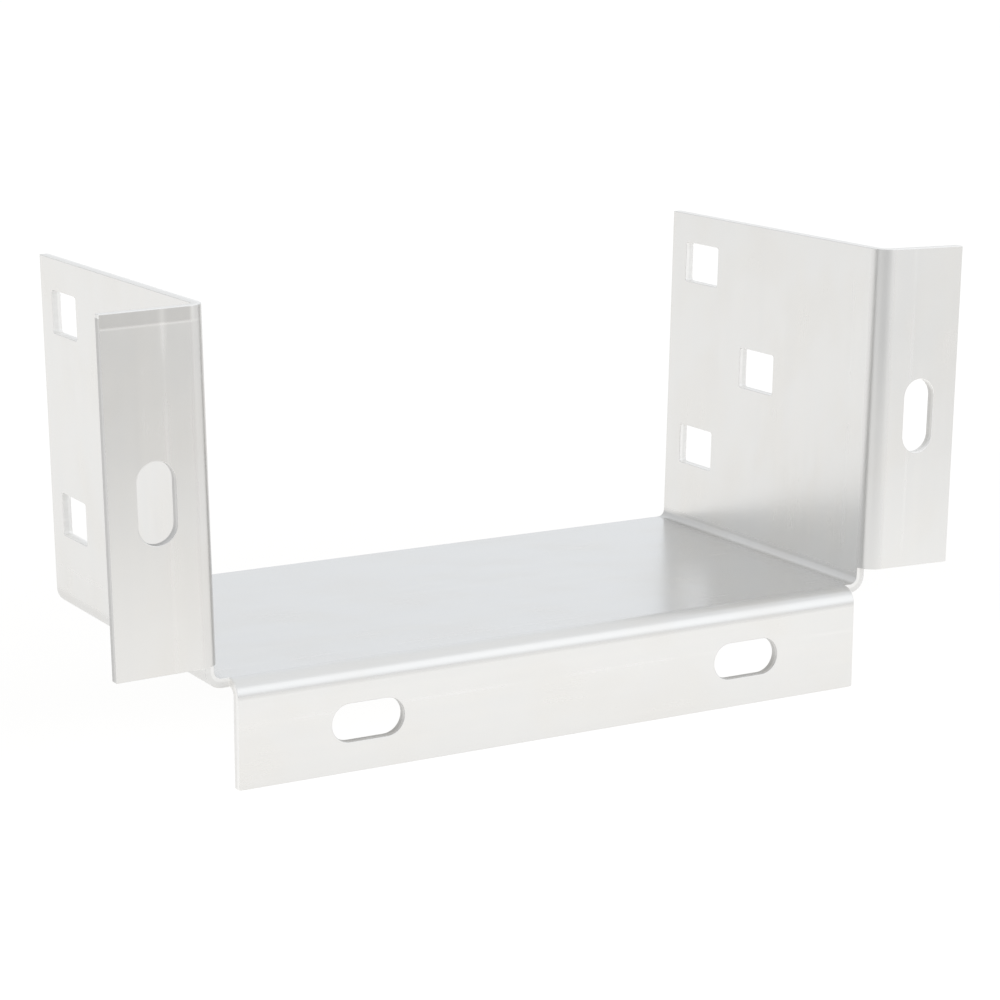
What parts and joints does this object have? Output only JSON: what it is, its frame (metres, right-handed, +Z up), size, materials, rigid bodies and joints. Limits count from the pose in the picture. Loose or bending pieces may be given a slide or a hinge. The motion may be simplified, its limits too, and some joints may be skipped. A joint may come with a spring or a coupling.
{
  "type": "flanged cable tray end connector",
  "caption": "Channel-shaped bracket folded from one sheet, which bolts the open end of a cable tray to a box or a wall through slotted flanges.",
  "frame": {"origin": "midway between the two slots of the front flange, on the mounting face", "axes": "+X to the right across the tray, +Y into the tray from the mounting face, +Z up"},
  "size_m": [0.254, 0.102, 0.1214],
  "materials": {
    "sheet": "satin"
  },
  "bodies": {
    "root": {"connector": "sheet"}
  },
  "joints": []
}
